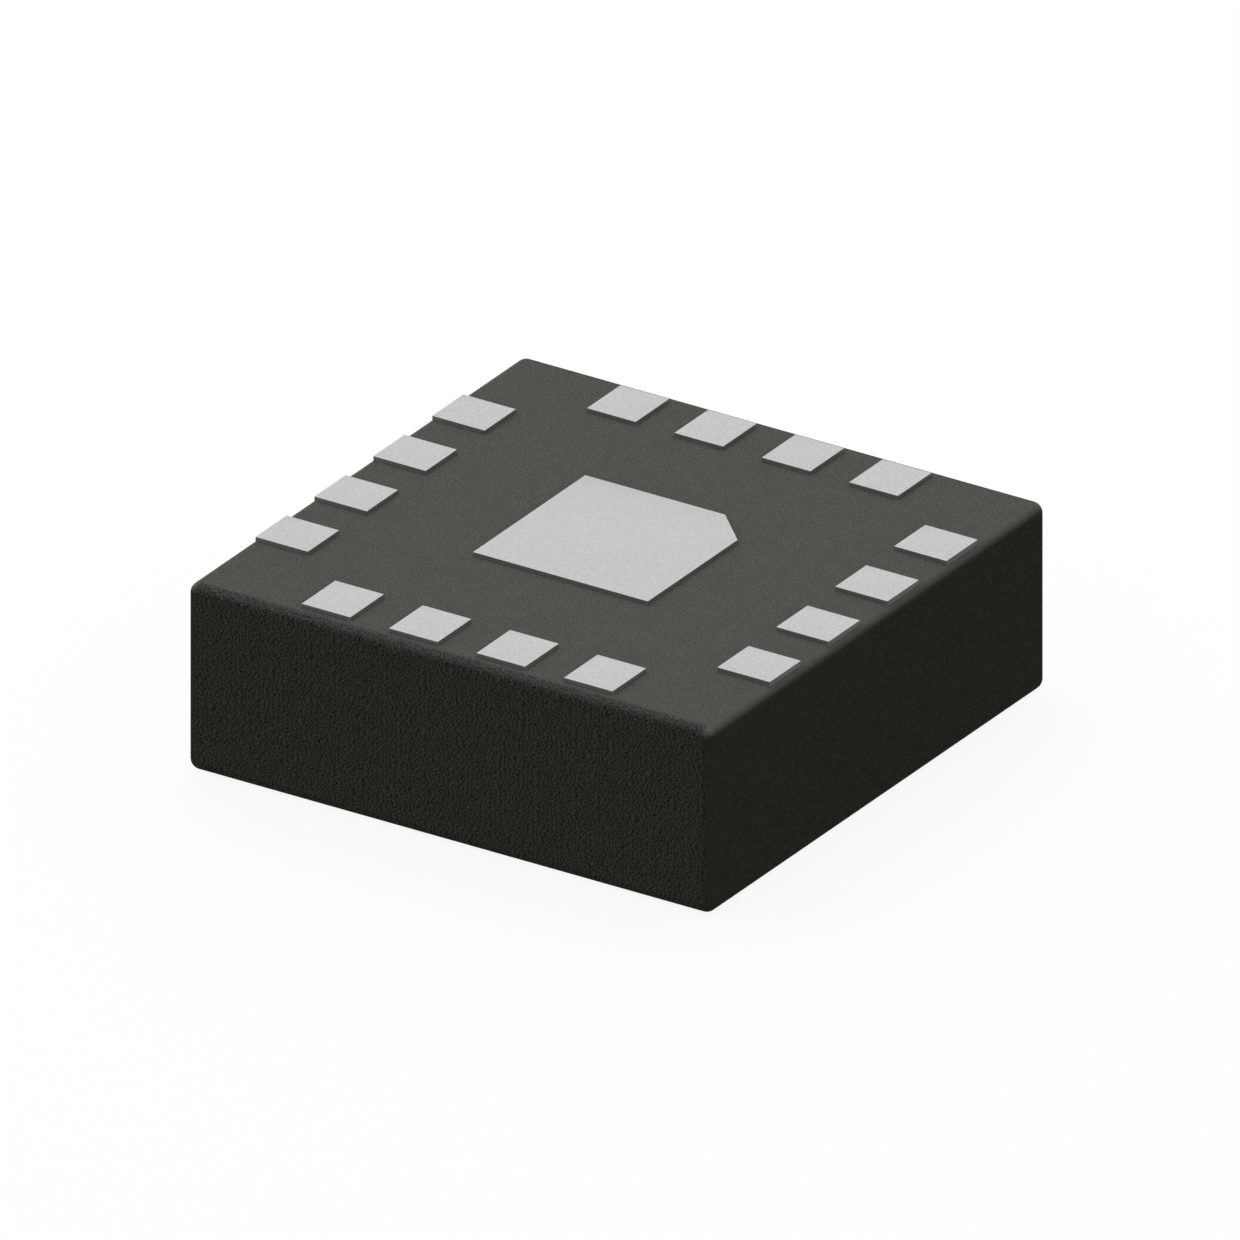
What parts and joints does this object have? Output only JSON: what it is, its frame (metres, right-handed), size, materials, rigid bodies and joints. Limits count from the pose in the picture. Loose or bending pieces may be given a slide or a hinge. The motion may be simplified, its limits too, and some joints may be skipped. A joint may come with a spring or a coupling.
{
  "type": "qfn chip",
  "caption": "Square moulded no-lead chip package lying lands up: rectangular solder lands on all sides round an exposed pad with one cut corner.",
  "frame": {"origin": "middle of the marking face that the package rests on", "axes": "+Z out of the land side; X along the rows of lands with the 0.500 mm pitch; Y along the columns with the 0.525 mm pitch; land 1 and the pad's cut corner towards +X +Y"},
  "size_m": [0.003, 0.003, 0.001],
  "materials": {
    "moulding_compound": "fine-grained matte epoxy",
    "tinned_copper": "satin matte tin plate",
    "silicon": "polished",
    "silver_epoxy": "cured paste",
    "gold_wire": "bright drawn"
  },
  "bodies": {
    "root": {"mould_compound": "moulding_compound", "exposed_pad": "tinned_copper", "lead_01": "tinned_copper", "lead_02": "tinned_copper", "lead_03": "tinned_copper", "lead_04": "tinned_copper", "lead_05": "tinned_copper", "lead_06": "tinned_copper", "lead_07": "tinned_copper", "lead_08": "tinned_copper", "lead_09": "tinned_copper", "lead_10": "tinned_copper", "lead_11": "tinned_copper", "lead_12": "tinned_copper", "lead_13": "tinned_copper", "lead_14": "tinned_copper", "lead_15": "tinned_copper", "lead_16": "tinned_copper", "silicon_die": "silicon", "die_attach": "silver_epoxy", "bond_wire_01": "gold_wire", "bond_wire_02": "gold_wire", "bond_wire_03": "gold_wire", "bond_wire_04": "gold_wire", "bond_wire_05": "gold_wire", "bond_wire_06": "gold_wire", "bond_wire_07": "gold_wire", "bond_wire_08": "gold_wire", "bond_wire_09": "gold_wire", "bond_wire_10": "gold_wire", "bond_wire_11": "gold_wire", "bond_wire_12": "gold_wire", "bond_wire_13": "gold_wire", "bond_wire_14": "gold_wire", "bond_wire_15": "gold_wire", "bond_wire_16": "gold_wire"}
  },
  "joints": []
}
